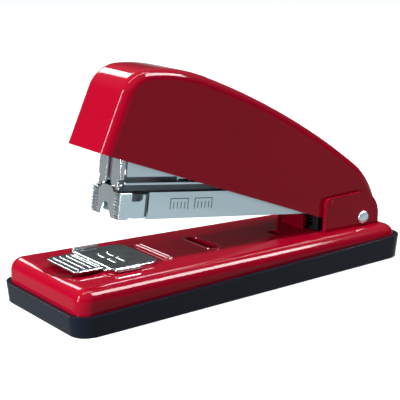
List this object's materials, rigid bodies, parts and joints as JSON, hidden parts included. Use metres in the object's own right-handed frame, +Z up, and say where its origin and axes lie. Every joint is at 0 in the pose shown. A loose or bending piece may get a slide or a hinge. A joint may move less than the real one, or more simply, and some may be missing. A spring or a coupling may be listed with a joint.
{
  "type": "desk stapler",
  "caption": "Metal desk stapler with a pan base, sliding anvil, hinged magazine with a front-loading staple drawer, and a sprung shell cover that drives the staple.",
  "frame": {"origin": "middle of the tray's underside", "axes": "+X from the staple exit towards the hinge, +Z up"},
  "size_m": [0.165, 0.0596, 0.0895],
  "materials": {
    "tray_plastic": "satin black moulding",
    "block_plastic": "satin black moulding",
    "red_enamel": "glossy red enamel",
    "nickel": "bright nickel plate",
    "bright_steel": "smooth zinc plate",
    "staple_wire": "bright wire",
    "spring_steel": "bright spring steel",
    "steel_hardware": "zinc plated"
  },
  "bodies": {
    "base": {"base_tray": "tray_plastic", "tray_screws": "steel_hardware", "screw_posts": "steel_hardware", "base_plate": "red_enamel", "hinge_bracket": "red_enamel", "bracket_rivets": "steel_hardware", "pivot_pin": "nickel", "spacer_bushes": "steel_hardware", "guide_block": "block_plastic", "return_spring": "spring_steel"},
    "anvil": {"anvil_slide": "nickel", "anvil_stud": "nickel", "anvil_washer": "spring_steel"},
    "magazine": {"magazine_channel": "bright_steel", "magazine_track": "bright_steel", "frame_rivets": "steel_hardware", "driver_housing": "nickel", "housing_rivet": "steel_hardware", "handle_spring": "spring_steel"},
    "drawer": {"staple_rail": "bright_steel", "spring_rod": "spring_steel", "front_grip": "nickel", "staple_strip": "staple_wire", "pusher_spring": "spring_steel"},
    "pusher": {"pusher": "steel_hardware"},
    "driver": {"driver_blade": "spring_steel"},
    "cover": {"handle_cover": "red_enamel", "driver_lever": "spring_steel"}
  },
  "joints": [
    {"name": "magazine_pivot", "type": "hinge", "parent": "base", "child": "magazine", "pos_m": [0.0654, 0, 0.0179], "axis": [0, -1, 0], "range_deg": [0, 7.5], "stiffness_Nm_per_rad": 2, "springref_deg": -11.46, "deforming": ["return_spring"]},
    {"name": "cover_pivot", "type": "hinge", "parent": "magazine", "child": "cover", "pos_m": [0.0654, 0, 0.0179], "axis": [0, -1, 0], "range_deg": [0, 7], "stiffness_Nm_per_rad": 1.5, "springref_deg": -11.46, "deforming": ["handle_spring"]},
    {"name": "driver_slide", "type": "slide", "parent": "magazine", "child": "driver", "axis": [-0.1314, 0, -0.9913], "range_m": [0, 0.0146]},
    {"name": "drawer_slide", "type": "slide", "parent": "magazine", "child": "drawer", "axis": [0.9913, 0, -0.1314], "range_m": [-0.07, 0]},
    {"name": "pusher_slide", "type": "slide", "parent": "drawer", "child": "pusher", "axis": [0.9913, 0, -0.1314], "range_m": [0, 0.019], "stiffness_N_per_m": 60, "springref_m": -0.05, "deforming": ["pusher_spring"]},
    {"name": "anvil_slide", "type": "slide", "parent": "base", "child": "anvil", "axis": [-0.9998, 0, 0.02], "range_m": [0, 0.004]}
  ],
  "couplings": [
    {"joint": "driver_slide", "follows": "cover_pivot", "m_per_rad": 0.118}
  ]
}
